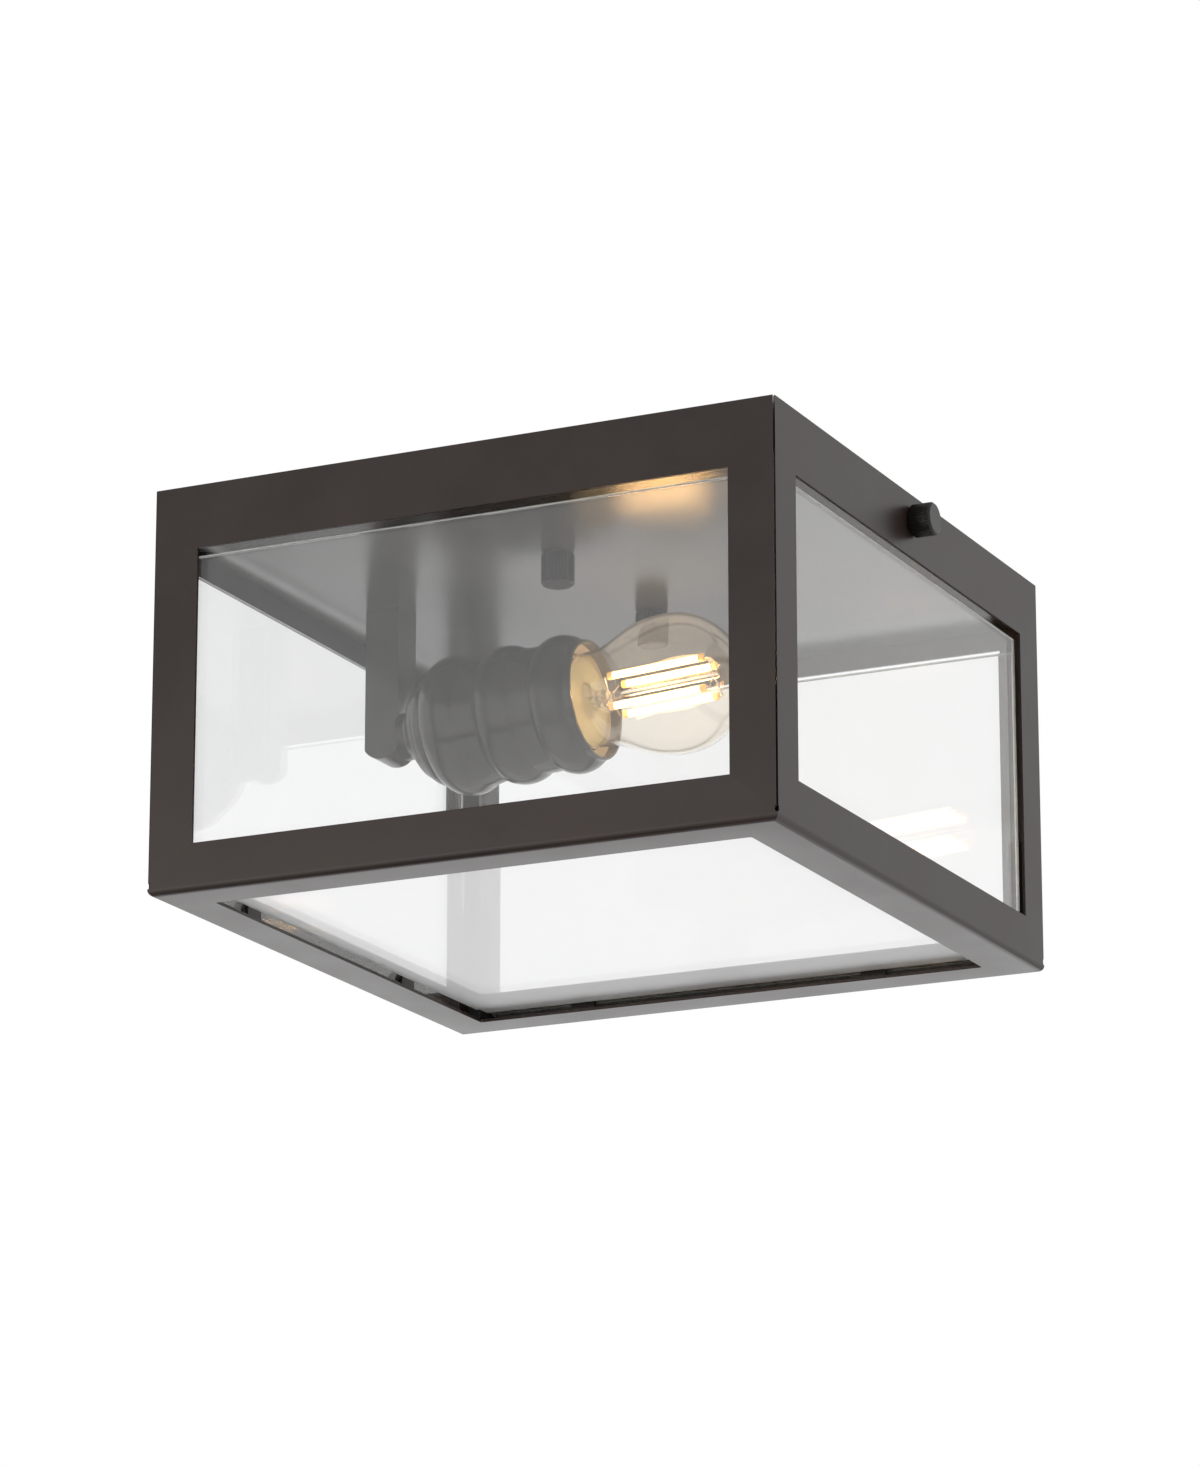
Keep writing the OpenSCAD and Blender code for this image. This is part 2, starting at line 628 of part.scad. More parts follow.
// Stations of a lead as x, z and heading: from the socket's contacts, round the bend and up the arm
function lead_stations() =
    let (start = 180 + lamp_tilt, place = well_floor, x = wire_bore_x + lead_bend_r,
        z = bend_dz - lamp_drop)
    concat([[arm_face + place * cos(lamp_tilt), place * sin(lamp_tilt) - lamp_drop, start]],
        [for (i = [0 : lead_bend_steps]) let (h = start - (start - 90) * i / lead_bend_steps)
            [x - lead_bend_r * sin(h), z + lead_bend_r * cos(h), h]],
        [[wire_bore_x, nipple_top, 90]]);

// A round lead swept along its stations, on one side of the lamp axis
module lead(side) {
    stations = lead_stations();
    n = lead_sides;
    last = (len(stations) - 1) * n;
    points = [for (s = stations, k = [0 : n - 1]) let (a = 360 * (k + 0.5) / n)
        [s[0] - lead_r * cos(a) * sin(s[2]), side * lead_half_spacing + lead_r * sin(a),
            s[1] + lead_r * cos(a) * cos(s[2])]];
    walls = [for (j = [0 : len(stations) - 2], k = [0 : n - 1])
        [j * n + k, j * n + (k + 1) % n, (j + 1) * n + (k + 1) % n, (j + 1) * n + k]];
    ends = [[for (k = [n - 1 : -1 : 0]) k], [for (k = [0 : n - 1]) last + k]];
    polyhedron(points, concat(walls, ends));
}

module lead_black() color([0.1, 0.1, 0.1]) lead(-1);

module lead_white() color([0.9, 0.9, 0.88]) lead(1);

module cap_nut(side) {
    color([0.22, 0.2, 0.18]) translate([0, side * stud_y, -pan_h - cap_nut_gap - cap_nut_l]) difference() {
        knob(cap_nut_r, cap_nut_l);
        translate([0, 0, cap_nut_l - cap_nut_depth]) cylinder(r = stud_r + run_gap, h = cap_nut_depth + cut);
    }
}

module cap_nut_front() cap_nut(-1);

module cap_nut_back() cap_nut(1);

module thumb_head(turn) {
    color([0.16, 0.13, 0.11]) on_side(turn) translate([0, 0, thumb_start]) difference() {
        knob(thumb_head_r, thumb_head_l);
        translate([0, 0, -cut]) cylinder(r = thumb_shank_r + run_gap, h = thumb_shank_in + cut);
    }
}

module thumb_shank(turn) {
    color([0.5, 0.5, 0.5]) on_side(turn) translate([0, 0, thumb_tip])
        cylinder(r = thumb_shank_r, h = thumb_start + thumb_shank_in - run_gap - thumb_tip);
}

module thumbscrew_right_head() thumb_head(0);

module thumbscrew_right_shank() thumb_shank(0);

module thumbscrew_left_head() thumb_head(180);

module thumbscrew_left_shank() thumb_shank(180);

module bulb_contact() color([0.75, 0.75, 0.76]) along_lamp(tip_place)
    cylinder(r1 = tip_r / 2, r2 = tip_r, h = tip_h);

module bulb_insulator() color([0.1, 0.1, 0.12]) along_lamp(tip_place + tip_h)
    cylinder(r1 = tip_r, r2 = insulator_r, h = shell_place - tip_place - tip_h - pane_gap);

module bulb_base_shell() color([0.8, 0.78, 0.7]) along_lamp(shell_place) difference() {
    rotate_extrude() polygon(concat([[0, 0], [base_r - 2 * thread_depth, 0]],
        [for (i = [0 : base_turns - 1]) each bulge([base_r - thread_depth, (i + 0.2) * thread_pitch],
            [base_r - thread_depth, (i + 0.9) * thread_pitch], thread_depth, 4)],
        [[base_r - thread_depth, collar_place - shell_place], [0, collar_place - shell_place]]));
    translate([0, 0, shell_wall]) cylinder(r = base_r - 2 * thread_depth - shell_wall, h = collar_place);
}

module bulb_driver() color([0.1, 0.4, 0.2]) along_lamp(collar_place - board_l - pane_gap) {
    translate([-board_w / 2, -board_t / 2, 0]) cube([board_w, board_t, board_l]);
    translate([0, -capacitor_r, board_l / 5]) cylinder(r = capacitor_r, h = board_l / 2);
}

module bulb_collar() color([0.9, 0.84, 0.68]) on_lamp_axis() rotate_extrude()
    polygon([[0, collar_place], [base_r + thread_depth, collar_place], [bulb_neck_r, glass_place - pane_gap],
        [bulb_neck_r, glass_place], [bulb_neck_r - bulb_wall - collar_gap, glass_place],
        [bulb_neck_r - bulb_wall - collar_gap, disc_place], [0, disc_place]]);

module bulb_glass() color([0.85, 0.85, 0.82, 0.35]) on_lamp_axis() difference() {
    rotate_extrude() polygon(concat([[0, glass_place]], bulb_outline(0)));
    rotate_extrude() polygon(concat([[0, glass_place - cut], [bulb_neck_r - bulb_wall, glass_place - cut]],
        bulb_outline(bulb_wall)));
}

module bulb_stem() color([0.85, 0.88, 0.86, 0.5]) on_lamp_axis() rotate_extrude()
    polygon([[0, disc_place], [stem_foot_r, disc_place], [stem_r, disc_place + stem_foot_l],
        [stem_r, pinch_place], [rod_r, pinch_place + stem_r], [rod_r, rod_end], [0, rod_end]]);

module at_filaments() {
    for (x = [-1, 1], y = [-1, 1]) translate([x * filament_half, y * filament_half, 0]) children();
}

module bulb_filaments() color([1, 0.85, 0.45]) along_lamp(filament_place) at_filaments() {
    cylinder(r = filament_r, h = filament_l);
    cylinder(r = filament_cap_r, h = filament_cap_l);
    translate([0, 0, filament_l - filament_cap_l]) cylinder(r = filament_cap_r, h = filament_cap_l);
}

// A post on each filament's end and a wire from it to the clear rod
module end_wires(place, side) {
    for (turn = [45 : 90 : 315]) along_lamp(place) rotate(turn) {
        translate([filament_half * sqrt(2), 0, min(0, side * post_l)]) cylinder(r = post_r, h = post_l);
        translate([rod_r, 0, side * (post_l - post_r)]) rotate([0, 90, 0])
            cylinder(r = wire_r, h = filament_half * sqrt(2) - rod_r);
    }
}

module bulb_wires() color([0.7, 0.7, 0.68]) {
    end_wires(filament_place + filament_l, 1);
    end_wires(filament_place, -1);
}

cage_frame();
glass_front();
glass_back();
glass_left();
glass_right();
glass_bottom();
glass_tongues();
rest_pads();
corner_clips();
screw_bushes();
ceiling_pan();
box_bar();
stud_bar();
bar_rivet();
mounting_studs();
stud_lock_nuts();
ground_screw();
lamp_arm();
arm_nipple();
arm_nipple_washer();
arm_nipple_nut();
socket_nipple();
socket_nipple_nut();
socket_cup();
socket_body();
socket_screw_shell();
socket_contact();
lead_black();
lead_white();
cap_nut_front();
cap_nut_back();
thumbscrew_right_head();
thumbscrew_right_shank();
thumbscrew_left_head();
thumbscrew_left_shank();
bulb_contact();
bulb_insulator();
bulb_base_shell();
bulb_driver();
bulb_collar();
bulb_glass();
bulb_stem();
bulb_filaments();
bulb_wires();
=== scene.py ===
"""Looks of the square flush mount ceiling light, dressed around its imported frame. Metres, +Z up."""
import json
import math

import bmesh
import bpy
from mathutils import Matrix, Vector


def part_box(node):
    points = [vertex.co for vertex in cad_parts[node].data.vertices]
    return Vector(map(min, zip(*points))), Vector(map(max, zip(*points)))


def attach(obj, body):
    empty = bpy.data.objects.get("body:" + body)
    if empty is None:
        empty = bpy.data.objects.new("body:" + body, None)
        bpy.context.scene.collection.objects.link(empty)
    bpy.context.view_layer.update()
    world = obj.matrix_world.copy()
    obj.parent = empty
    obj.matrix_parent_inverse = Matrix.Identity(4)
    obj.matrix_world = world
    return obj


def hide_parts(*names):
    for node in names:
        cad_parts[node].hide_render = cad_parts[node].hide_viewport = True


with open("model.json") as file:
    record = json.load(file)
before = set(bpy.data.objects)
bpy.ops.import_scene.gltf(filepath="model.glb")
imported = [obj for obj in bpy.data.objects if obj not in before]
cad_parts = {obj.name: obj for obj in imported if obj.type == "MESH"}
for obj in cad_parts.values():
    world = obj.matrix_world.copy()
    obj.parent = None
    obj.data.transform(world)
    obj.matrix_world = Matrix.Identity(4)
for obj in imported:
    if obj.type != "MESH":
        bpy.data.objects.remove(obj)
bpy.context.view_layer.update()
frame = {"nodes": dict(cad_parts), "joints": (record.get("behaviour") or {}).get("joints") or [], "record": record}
SCENE = bpy.context.scene
MM = 0.001

# The photograph's camera: its place in millimetres from the ceiling point, its turn and rise, and its lens
CAMERA_PLACE = (861.8, -1795.1, -642.6)
CAMERA_TURN = 25.723
CAMERA_RISE = 15.953
CAMERA_LENS = 140.41

# The lamp axis leaves the arm's face at the bulb joint's place and runs towards the bulb's end
BULB_JOINT = next(joint for joint in frame["joints"] if joint["name"] == "bulb_turn")
LAMP_AXIS = Vector(BULB_JOINT["axis"]).normalized()
LAMP = Matrix.Translation(BULB_JOINT["pos_m"]) @ LAMP_AXIS.to_track_quat("Z", "Y").to_matrix().to_4x4()

# The four filaments stand in a square about the lamp axis. Places are along that axis, in millimetres
FILAMENT_HALF = 5.75
FILAMENT_CORNERS = [(across, along) for across in (-FILAMENT_HALF, FILAMENT_HALF)
                    for along in (-FILAMENT_HALF, FILAMENT_HALF)]
FILAMENT_START = 86.0
FILAMENT_END = 124.0
CAP_LENGTH = 2.2
CAP_RADIUS = 1.45
ROD_RADIUS = 1.35
FILAMENT_GLOW = 14.0

# The wires that carry the filaments meet close to the axis, and two of them rise from the collar's disc
WIRE_RADIUS = 0.3
POST_RADIUS = 0.45
HUB_SHARE = 0.12
DISC_PLACE = 75.0

# The knurled nuts and thumbscrews, in millimetres
NUT_REACH = 39.5
NUT_TOP = -17.1
NUT_LENGTH = 12.0
THUMBSCREW_REACH = 120.8
THUMBSCREW_PLACE = -10
THUMBSCREW_LENGTH = 8.7

# The floor lies far enough below for views from under the light
FLOOR_PLACE = -2.6
FLOOR_HALF = 28.0

# Which output of its node each of these is
OBJECT_PLACE = 3
FACING = 1
CAMERA_RAY, SHADOW_RAY, GLOSSY_RAY, TRANSMISSION_RAY = 0, 1, 3, 6


# Shader maths

class Value:
    """A socket of a material's tree. Sums and products with numbers or other values add Math nodes."""

    def __init__(self, recipe, socket):
        self.recipe = recipe
        self.socket = socket

    def maths(self, operation, *others):
        return self.recipe.add("ShaderNodeMath", {"operation": operation}, *others)[0]

    def __add__(self, other):
        return self.maths("ADD", self, other)

    def __radd__(self, other):
        return self.maths("ADD", other, self)

    def __sub__(self, other):
        return self.maths("SUBTRACT", self, other)

    def __rsub__(self, other):
        return self.maths("SUBTRACT", other, self)

    def __mul__(self, other):
        return self.maths("MULTIPLY", self, other)

    def __rmul__(self, other):
        return self.maths("MULTIPLY", other, self)

    def clamp(self):
        return self.maths("MINIMUM", self.maths("MAXIMUM", self, 0.0), 1.0)


class Recipe:
    """The node tree of a material or of the world, filled one node at a time."""

    def __init__(self, tree):
        self.tree = tree
        tree.nodes.clear()

    def add(self, kind, settings=None, *inputs, **named):
        """Adds a node, gives it its settings, then its inputs in order or by name. Returns its outputs."""
        node = self.tree.nodes.new(kind)
        for key, setting in (settings or {}).items():
            setattr(node, key, setting)
        sockets = [(node.inputs[place], given) for place, given in enumerate(inputs)]
        sockets += [(find_input(node, name.replace("_", " ")), given) for name, given in named.items()]
        for socket, given in sockets:
            if isinstance(given, Value):
                self.tree.links.new(given.socket, socket)
            elif given is not None:
                socket.default_value = given
        return [Value(self, socket) for socket in node.outputs if socket.enabled]

    def place(self):
        """The piece's own coordinates, in metres."""
        return self.add("ShaderNodeTexCoord")[OBJECT_PLACE]

    def noise(self, scale, detail=2.0, roughness=0.5, place=None):
        return self.add("ShaderNodeTexNoise", None, Vector=place or self.place(), Scale=scale,
                        Detail=detail, Roughness=roughness)[0]

    def spread(self, value, low, high, to_low=0.0, to_high=1.0):
        """Maps low..high of a value to to_low..to_high, held at both ends."""
        return self.add("ShaderNodeMapRange", {"clamp": True}, value, low, high, to_low, to_high)[0]

    def blend(self, share, first, second):
        """A colour between two, by share."""
        return self.add("ShaderNodeMix", {"data_type": "RGBA"}, Factor=share, A=first, B=second)[0]

    def shine(self, **inputs):
        return self.add("ShaderNodeBsdfPrincipled", None, **inputs)[0]

    def bump(self, height, strength, distance):
        return self.add("ShaderNodeBump", None, Strength=strength, Distance=distance, Height=height)[0]

    def surface(self, shader):
        self.add("ShaderNodeOutputMaterial", None, shader)


def find_input(node, name):
    """The enabled input of that name, since a Mix node has one for each kind of data."""
    return next(socket for socket in node.inputs if socket.name == name and socket.enabled)


def finish(name):
    material = bpy.data.materials.new(name)
    material.use_nodes = True
    return material, Recipe(material.node_tree)


def rgb(red, green, blue):
    return (red, green, blue, 1.0)


# Finishes

def bronze(name, dark, light, roughness, ior=1.38, specks=0.35, peel_depth=0.003):
    """Satin dark bronze paint: soft reddish clouds, fine flecks and a faint orange-peel surface."""
    material, r = finish(name)
    clouds = r.noise(28.0, 4.0, 0.6)
    grain = r.noise(900.0, 3.0, 0.65)
    peel = r.noise(420.0, 2.0, 0.5)
    colour = r.blend(r.spread(clouds, 0.35, 0.68), rgb(*dark), rgb(*light))
    colour = r.blend(r.spread(grain, 0.62, 0.8, 0.0, specks), colour, rgb(*(2.2 * part for part in light)))
    rough = r.spread(clouds, 0.3, 0.7, roughness - 0.02, roughness + 0.03) + (grain - 0.5) * 0.04
    normal = r.bump(peel * 0.6 + grain * 0.4, 0.35, peel_depth * MM)
    r.surface(r.shine(Base_Color=colour, Roughness=rough, IOR=ior, Normal=normal))
    return material


def clear_pane(name, dust_and_veil, slant_dust_and_veil, ior):
    """Clear sheet glass under a white film that is partly dust and partly a painted reflection of the white
    surroundings, which shows most at a slant. Lamp light passes it.
    """
    material, r = finish(name)
    smear = r.noise(60.0, 3.0, 0.6)
    glass = r.shine(Base_Color=rgb(0.985, 0.99, 0.99), Roughness=r.spread(smear, 0.6, 0.9, 0.0, 0.012),
                    IOR=ior, Transmission_Weight=1.0)
    dust = r.add("ShaderNodeBsdfDiffuse", None, rgb(0.95, 0.95, 0.96))[0]
    slant = r.add("ShaderNodeLayerWeight", None, 0.5)[FACING]
    # Painted reflection: the white film stands in for the glass's reflection of the white surroundings as well as
    # for dust, more at a slant
    film = r.spread(slant, 0.5, 0.72, dust_and_veil, slant_dust_and_veil) + (smear - 0.5) * 0.02
    dusty = r.add("ShaderNodeMixShader", None, film.clamp(), glass, dust)[0]
    straight = r.add("ShaderNodeBsdfTransparent", None, rgb(0.9, 0.91, 0.9))[0]
    shadow = r.add("ShaderNodeLightPath")[SHADOW_RAY]
    r.surface(r.add("ShaderNodeMixShader", None, shadow, dusty, straight)[0])
    return material


def ground_edge():
    """A pane's ground edge: frosted, grey-green and finely hatched across."""
    material, r = finish("ground_edge")
    hatch = r.noise(1500.0, 3.0, 0.7)
    chips = r.noise(240.0, 2.0, 0.6)
    colour = r.blend(r.spread(hatch, 0.35, 0.65), rgb(0.2, 0.23, 0.21), rgb(0.42, 0.45, 0.43))
    r.surface(r.shine(Base_Color=colour, Roughness=r.spread(chips, 0.4, 0.7, 0.3, 0.6), IOR=1.5,
                      Transmission_Weight=0.45, Normal=r.bump(hatch, 0.5, 0.03 * MM)))
    return material


def blown_glass(name, ior, film_low, film_high):
    """The bulb's clear glass, a touch warm, under a faint film that catches the filaments' light."""
    material, r = finish(name)
    waves = r.noise(45.0, 1.0, 0.4)
    clear = r.shine(Base_Color=rgb(0.97, 0.945, 0.895), Roughness=0.0, IOR=ior, Transmission_Weight=1.0,
                    Normal=r.bump(waves, 0.15, 0.4 * MM))
    film = r.add("ShaderNodeBsdfDiffuse", None, rgb(0.95, 0.9, 0.8))[0]
    glass = r.add("ShaderNodeMixShader", None, r.spread(waves, 0.3, 0.7, film_low, film_high), clear,
                  film)[0]
    straight = r.add("ShaderNodeBsdfTransparent", None, rgb(0.93, 0.91, 0.88))[0]
    shadow = r.add("ShaderNodeLightPath")[SHADOW_RAY]
    r.surface(r.add("ShaderNodeMixShader", None, shadow, glass, straight)[0])
    return material


def lit_filament():
    """A glowing coated rod: white hot to the eye, golden towards its edges."""
    material, r = finish("lit_filament")
    edge = r.add("ShaderNodeLayerWeight", None, 0.5)[FACING]
    mottle = r.noise(2600.0, 2.0, 0.5)
    share = r.spread(edge + (mottle - 0.5) * 0.25, 0.25, 0.75)
    glow = r.blend(share, rgb(1.0, 0.66, 0.32), rgb(0.3, 0.12, 0.02))
    r.surface(r.shine(Base_Color=rgb(0.9, 0.6, 0.2), Roughness=0.5, Emission_Color=glow,
                      Emission_Strength=FILAMENT_GLOW))
    return material


def amber_cap():
    """The silicone-coated end of a filament, with a painted orange glow that stands in for the light falling on it
    from the filament.
    """
    material, r = finish("amber_cap")
    mottle = r.noise(1800.0, 2.0, 0.5)
    # Painted glow: this emission stands in for the filament's light on the cap, which is no lamp
    glow = r.blend(mottle, rgb(0.85, 0.42, 0.1), rgb(1.0, 0.62, 0.22))
    r.surface(r.shine(Base_Color=rgb(0.75, 0.36, 0.08), Roughness=r.spread(mottle, 0.3, 0.7, 0.3, 0.5),
                      Emission_Color=glow, Emission_Strength=0.85))
    return material


def plain(name, colour, metallic, roughness, fleck=0.12, scale=300.0, bump=0.05):
    """A small part's finish: its colour with fine flecks, uneven gloss and a fine-grained surface."""
    material, r = finish(name)
    specks = r.noise(scale, 3.0, 0.6)
    clouds = r.noise(scale / 8.0, 2.0, 0.5)
    darker = rgb(*(part * (1.0 - 2.0 * fleck) for part in colour))
    lighter = rgb(*(min(1.0, part * (1.0 + fleck)) for part in colour))
    tone = r.blend(r.spread(specks * 0.5 + clouds * 0.5, 0.35, 0.65), darker, lighter)
    rough = r.spread(clouds, 0.3, 0.7, max(0.02, roughness - 0.07), roughness + 0.07)
    normal = r.bump(specks, bump, 0.05 * MM)
    r.surface(r.shine(Base_Color=tone, Metallic=metallic, Roughness=rough, IOR=1.5, Normal=normal))
    return material


FINISHES = {
    "bronze_paint": bronze("bronze_paint", (0.018, 0.0115, 0.0092), (0.025, 0.0155, 0.0125), 0.35),
    "pan_bronze": bronze("pan_bronze", (0.022, 0.019, 0.017), (0.028, 0.024, 0.021), 0.22, 1.6, 0.05,
                         0.0003),
    # Painted light: the arm and cup's bronze is a lighter copy of the paint, lightened to stand in for the light
    # they catch
    "lightened_arm_bronze": bronze("lightened_arm_bronze", (0.027, 0.0245, 0.0185), (0.035, 0.031, 0.0245), 0.19, 1.48, 0.05,
                         0.0003),
    "dark_bronze": bronze("dark_bronze", (0.005, 0.0036, 0.003), (0.009, 0.0065, 0.0055), 0.3, 1.42, 0.1),
    # The panes' white films are dust and painted reflection; the bottom pane's strong film at a slant is mostly
    # painted reflection
    "clear_glass": clear_pane("clear_glass", 0.03, 0.03, 1.5),
    "bottom_glass": clear_pane("bottom_glass", 0.06, 0.56, 1.2),
    "ground_edge": ground_edge(),
    "bulb_glass": blown_glass("blown_glass", 1.5, 0.004, 0.009),
    "stem_glass": blown_glass("stem_glass", 1.28, 0.01, 0.04),
    "black_rubber": plain("black_rubber", (0.012, 0.012, 0.013), 0.0, 0.6, 0.15, 600.0, 0.2),
    "zinc_steel": plain("zinc_steel", (0.62, 0.63, 0.62), 1.0, 0.36, 0.1, 700.0),
    "plain_brass": plain("plain_brass", (0.78, 0.60, 0.30), 1.0, 0.3, 0.1, 600.0),
    "green_screw": plain("green_screw", (0.05, 0.32, 0.12), 0.9, 0.34, 0.15, 800.0),
    "porcelain": plain("porcelain", (0.80, 0.78, 0.72), 0.0, 0.35, 0.05, 400.0),
    "black_insulation": plain("black_insulation", (0.02, 0.02, 0.021), 0.0, 0.42, 0.1, 500.0),
    "white_insulation": plain("white_insulation", (0.82, 0.81, 0.77), 0.0, 0.42, 0.05, 500.0),
    "solder": plain("solder", (0.62, 0.62, 0.62), 1.0, 0.4, 0.12, 900.0, 0.2),
    "black_glass": plain("black_glass", (0.015, 0.015, 0.018), 0.0, 0.15, 0.1, 300.0),
    "nickel_shell": plain("nickel_shell", (0.74, 0.71, 0.65), 1.0, 0.24, 0.08, 500.0),
    "circuit_board": plain("circuit_board", (0.03, 0.20, 0.08), 0.0, 0.4, 0.25, 900.0),
    "cream_collar": plain("cream_collar", (0.152, 0.139, 0.09), 0.0, 0.35, 0.12, 350.0),
    "mouth_ring": plain("mouth_ring", (0.23, 0.2, 0.16), 0.0, 0.5, 0.08, 400.0),
    "lit_filament": lit_filament(),
    "amber_cap": amber_cap(),
}
SLOT_OF = {row["node"]: row["material_slot"] for row in frame["record"]["subparts"]}
BODY_OF = {node: body for body, nodes in frame["record"]["behaviour"]["bodies"].items() for node in nodes}


# Making pieces

def piece(name, mesh_maker, nodes, look=None, sharp=35.0, bevel=0.0, steps=2, stands_for=True):
    """Makes an object from a bmesh, with a look or its slot's finish, that stands for nodes or is on one."""
    mesh = bpy.data.meshes.new(name)
    mesh_maker.to_mesh(mesh)
    mesh_maker.free()
    made = bpy.data.objects.new(name, mesh)
    SCENE.collection.objects.link(made)
    mesh.materials.append(FINISHES[look or SLOT_OF[nodes[0]]])
    mesh.shade_smooth()
    mesh.set_sharp_from_angle(angle=math.radians(sharp))
    if bevel:
        edge = made.modifiers.new("eased_edges", "BEVEL")
        edge.width = bevel
        edge.segments = steps
        edge.limit_method = "ANGLE"
        edge.angle_limit = math.radians(sharp)
        edge.harden_normals = True
    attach(made, BODY_OF[nodes[0]])
    if stands_for:
        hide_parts(*nodes)
    return made


def copy_of(node):
    """A node's own shape with its loose triangles joined and its flat faces whole."""
    shape = bmesh.new()
    shape.from_mesh(frame["nodes"][node].data)
    bmesh.ops.remove_doubles(shape, verts=shape.verts, dist=0.004 * MM)
    bmesh.ops.dissolve_limit(shape, verts=shape.verts, edges=shape.edges, angle_limit=math.radians(1.0))
    return shape


def turned(outline, sides, closed=False):
    """A round shape spun about Z from an outline of (radius, height) in millimetres."""
    shape = bmesh.new()
    corners = [shape.verts.new((radius * MM, 0, height * MM)) for radius, height in outline]
    pairs = zip(corners, corners[1:] + corners[:1]) if closed else zip(corners, corners[1:])
    edges = [shape.edges.new(pair) for pair in pairs]
    bmesh.ops.spin(shape, geom=corners + edges, cent=(0, 0, 0), axis=(0, 0, 1), angle=math.tau,
                   steps=sides, use_merge=True)
    bmesh.ops.remove_doubles(shape, verts=shape.verts, dist=0.002 * MM)
    bmesh.ops.recalc_face_normals(shape, faces=shape.faces)
    return shape


def moved(shape, matrix):
    bmesh.ops.transform(shape, matrix=matrix, verts=shape.verts)
    if matrix.determinant() < 0:
        bmesh.ops.reverse_faces(shape, faces=shape.faces)
    return shape


def arc(start, end, rise, steps):
    """Points from start to end on an arc that bulges away from the axis by rise, without its start."""
    start, end = Vector(start), Vector(end)
    along = end - start
    chord = along.length
    along.normalize()
    out = Vector((along[1], -along[0]))
    radius = (chord * chord / 4 + rise * rise) / (2 * rise)
    half = math.asin(chord / (2 * radius))
    middle = (start + end) / 2
    turns = [half * (2 * step / steps - 1) for step in range(1, steps + 1)]
    return [tuple(middle + along * radius * math.sin(turn)
                  + out * (radius * math.cos(turn) - (radius - rise))) for turn in turns]


# The camera, the surroundings and the lamps

def make_camera():
    camera = bpy.data.objects.new("camera", bpy.data.cameras.new("camera"))
    SCENE.collection.objects.link(camera)
    camera.location = Vector(CAMERA_PLACE) * MM
    camera.rotation_euler = (math.radians(90 + CAMERA_RISE), 0, math.radians(CAMERA_TURN))
    camera.data.lens = CAMERA_LENS
    camera.data.sensor_width = 36.0
    SCENE.camera = camera


def seen_directly(r):
    """One where the eye, a reflection or a view through glass meets the surface, else nought."""
    path = r.add("ShaderNodeLightPath")
    return (path[CAMERA_RAY] + path[GLOSSY_RAY] + path[TRANSMISSION_RAY]).clamp()


def flat_sheet(name, shape, place):
    """A sheet of the surroundings, laid level at its place."""
    moved(shape, Matrix.Translation(place))
    mesh = bpy.data.meshes.new(name)
    shape.to_mesh(mesh)
    shape.free()
    sheet = bpy.data.objects.new(name, mesh)
    SCENE.collection.objects.link(sheet)
    return sheet


def make_surroundings():
    world = bpy.data.worlds.new("white_studio")
    SCENE.world = world
    world.use_nodes = True
    r = Recipe(world.node_tree)
    strength = seen_directly(r) * 0.12 + 0.88
    light = r.add("ShaderNodeBackground", None, rgb(1, 1, 1), strength)[0]
    r.add("ShaderNodeOutputWorld", None, light)
    shape = bmesh.new()
    bmesh.ops.create_grid(shape, x_segments=1, y_segments=1, size=FLOOR_HALF)
    floor = flat_sheet("pale_floor", shape, (0, 0, FLOOR_PLACE))
    material, r = finish("pale_floor")
    dust = r.noise(3.0, 2.0)
    matt = r.shine(Base_Color=r.blend(dust, rgb(0.84, 0.84, 0.84), rgb(0.88, 0.88, 0.88)), Roughness=0.9)
    white = r.add("ShaderNodeEmission", None, rgb(1, 1, 1), 1.0)[0]
    r.surface(r.add("ShaderNodeMixShader", None, seen_directly(r) * 0.75, matt, white)[0])
    floor.data.materials.append(material)


def lamp(name, kind, place, power, colour, target=None):
    """A light that neither the eye nor a view through glass meets, turned to its target if it has one."""
    data = bpy.data.lights.new(name, kind)
    data.energy = power
    data.color = colour
    made = bpy.data.objects.new(name, data)
    SCENE.collection.objects.link(made)
    made.location = place
    if target:
        made.rotation_euler = (Vector(target) - Vector(place)).to_track_quat("-Z", "Y").to_euler()
    made.visible_camera = made.visible_transmission = False
    return made


def soft_lamp(name, place, target, size, power, colour):
    made = lamp(name, "AREA", place, power, colour, target)
    made.data.shape = "DISK"
    made.data.size = size
    made.visible_glossy = False


def glow_lamp(name, place, radius, power, colour):
    made = lamp(name, "POINT", place, power, colour)
    made.data.shadow_soft_size = radius
    made.visible_glossy = False


def gloss_card(name, place, target, width, height, power, colour):
    """A broad soft light that only gloss shows."""
    made = lamp(name, "AREA", place, power, colour, target)
    made.data.shape = "RECTANGLE"
    made.data.size, made.data.size_y = width, height
    made.visible_diffuse = False


def dark_card():
    """The dark ground straight below, which only reflections see."""
    shape = bmesh.new()
    bmesh.ops.create_circle(shape, cap_ends=True, segments=48, radius=0.5)
    card = flat_sheet("dark_card", shape, (-0.42, -0.38, -0.95))
    material, r = finish("dark_card")
    cloth = r.noise(5.0, 2.0)
    tone = r.blend(cloth, rgb(0.1, 0.1, 0.1), rgb(0.16, 0.16, 0.16))
    r.surface(r.add("ShaderNodeEmission", None, tone, 1.0)[0])
    card.data.materials.append(material)
    card.visible_camera = card.visible_diffuse = False
    card.visible_transmission = card.visible_shadow = False


